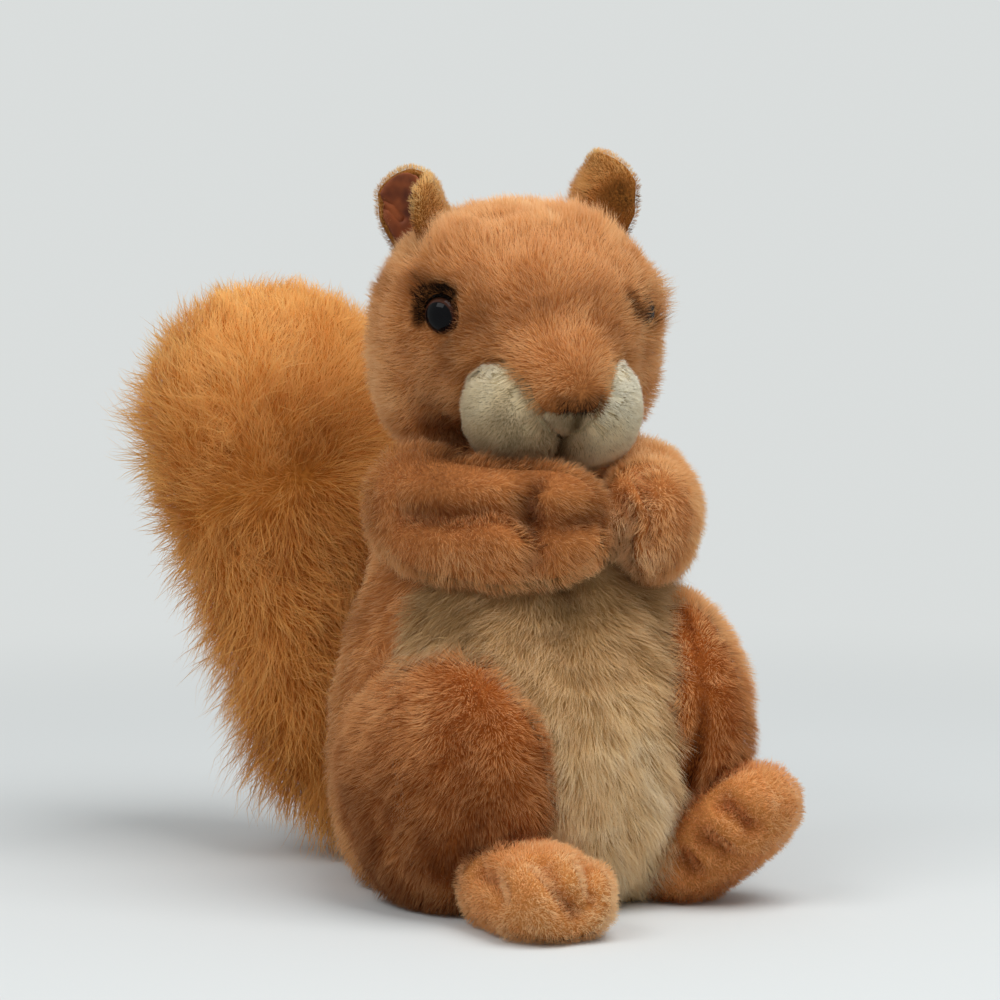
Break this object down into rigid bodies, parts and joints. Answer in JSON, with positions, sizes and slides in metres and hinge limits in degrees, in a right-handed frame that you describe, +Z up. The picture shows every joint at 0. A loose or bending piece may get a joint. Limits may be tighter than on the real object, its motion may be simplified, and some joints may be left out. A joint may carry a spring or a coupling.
{
  "type": "plush squirrel",
  "caption": "Sitting plush squirrel with folded arms, cupped ears, domed safety eyes, a pale belly panel and a bushy raised tail.",
  "frame": {"origin": "middle of the flat seat under the body", "axes": "the toy's body faces -Y, its own left side is at +X, +Z is up"},
  "size_m": [0.1278, 0.2278, 0.223],
  "materials": {
    "brown_plush": "medium pile plush, golden brown",
    "ear_plush": "short curly pile plush, olive brown",
    "ear_satin": "smooth dark brown lining",
    "muzzle_plush": "very short velvety pile, cream",
    "belly_plush": "longer pile plush, khaki cream",
    "rust_plush": "medium pile plush, red brown with pale tips",
    "foot_plush": "short curly pile plush, light brown",
    "tail_plush": "long shaggy pile, golden orange",
    "eye_plastic": "glossy, black pupil and dark brown ring",
    "washer_plastic": "unpainted, inside the head"
  },
  "bodies": {
    "root": {"head": "brown_plush", "body": "brown_plush", "arm_left": "brown_plush", "arm_right": "brown_plush", "ear_left": "ear_plush", "ear_right": "ear_plush", "ear_lining_left": "ear_satin", "ear_lining_right": "ear_satin", "muzzle_left": "muzzle_plush", "muzzle_right": "muzzle_plush", "belly": "belly_plush", "thigh_left": "rust_plush", "thigh_right": "rust_plush", "foot_left": "foot_plush", "foot_right": "foot_plush", "tail": "tail_plush", "eye_left": "eye_plastic", "eye_right": "eye_plastic", "eye_washer_left": "washer_plastic", "eye_washer_right": "washer_plastic"}
  },
  "joints": []
}
